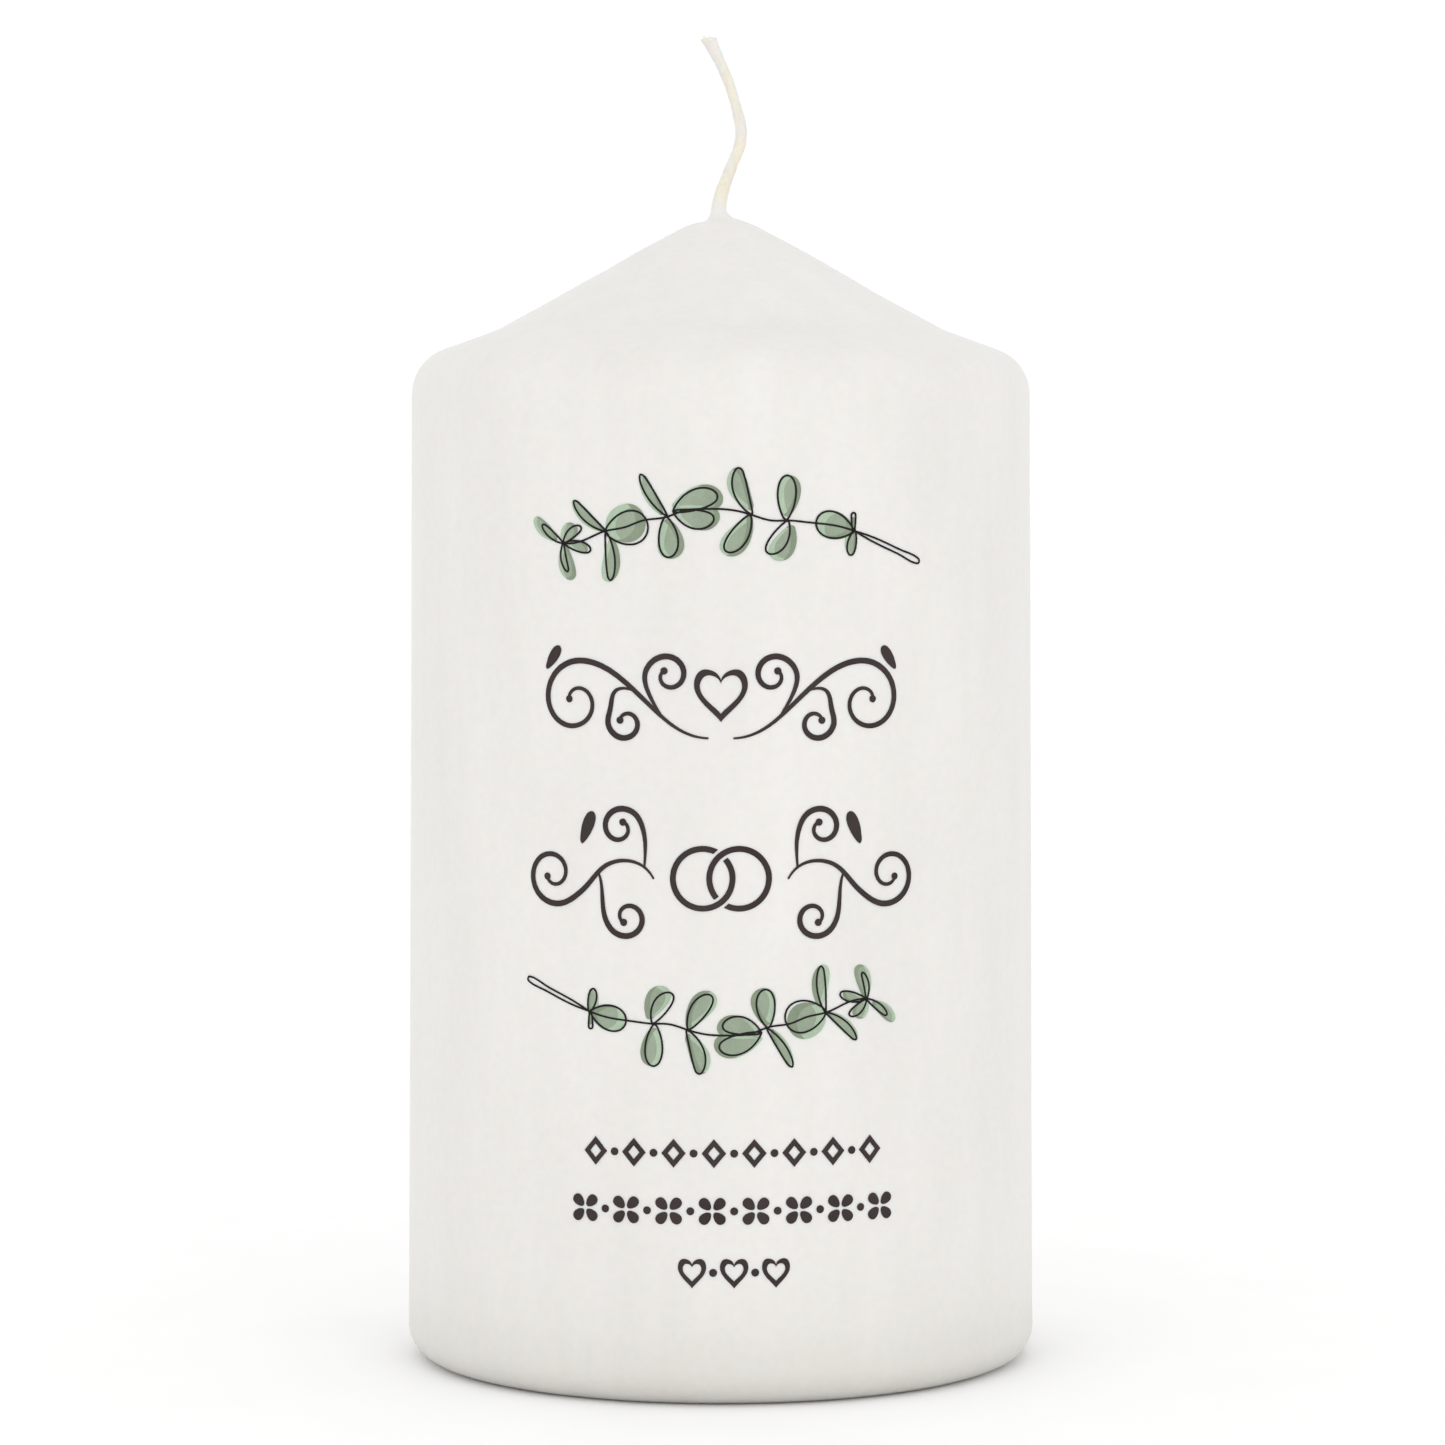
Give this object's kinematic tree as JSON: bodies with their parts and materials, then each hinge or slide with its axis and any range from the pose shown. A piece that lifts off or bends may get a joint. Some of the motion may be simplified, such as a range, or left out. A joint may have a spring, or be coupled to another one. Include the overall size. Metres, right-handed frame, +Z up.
{
  "type": "pillar candle",
  "caption": "Ivory pillar candle with a peaked top, a leaning cotton wick and a printed front of two leaf sprigs, scrolls, linked rings and border rows.",
  "frame": {"origin": "centre of the base, on the surface the candle stands on", "axes": "+Z up along the candle's axis; the printed front faces -Y; +X to the right of someone facing the print"},
  "size_m": [0.08, 0.08, 0.1681],
  "materials": {
    "coat_wax": "smooth, slightly translucent hard wax",
    "core_wax": "pressed wax grains, matt",
    "wick_cotton": "braided cotton primed with wax",
    "sustainer_steel": "tinned pressed steel",
    "line_ink": "matt black ink",
    "dark_green_ink": "matt sage ink, dark tone",
    "mid_green_ink": "matt sage ink, middle tone",
    "pale_green_ink": "matt sage ink, pale tone",
    "dark_ink": "matt brown-black ink"
  },
  "bodies": {
    "root": {"overdip_coat": "coat_wax", "wax_core": "core_wax", "wick": "wick_cotton", "wick_sustainer": "sustainer_steel", "upper_sprig_line": "line_ink", "upper_sprig_dark_green": "dark_green_ink", "upper_sprig_mid_green": "mid_green_ink", "upper_sprig_pale_green": "pale_green_ink", "lower_sprig_line": "line_ink", "lower_sprig_dark_green": "dark_green_ink", "lower_sprig_mid_green": "mid_green_ink", "lower_sprig_pale_green": "pale_green_ink", "upper_scroll": "dark_ink", "lower_scroll": "dark_ink", "linked_rings": "dark_ink", "border_row_top": "dark_ink", "border_row_middle": "dark_ink", "border_row_bottom": "dark_ink"}
  },
  "joints": []
}
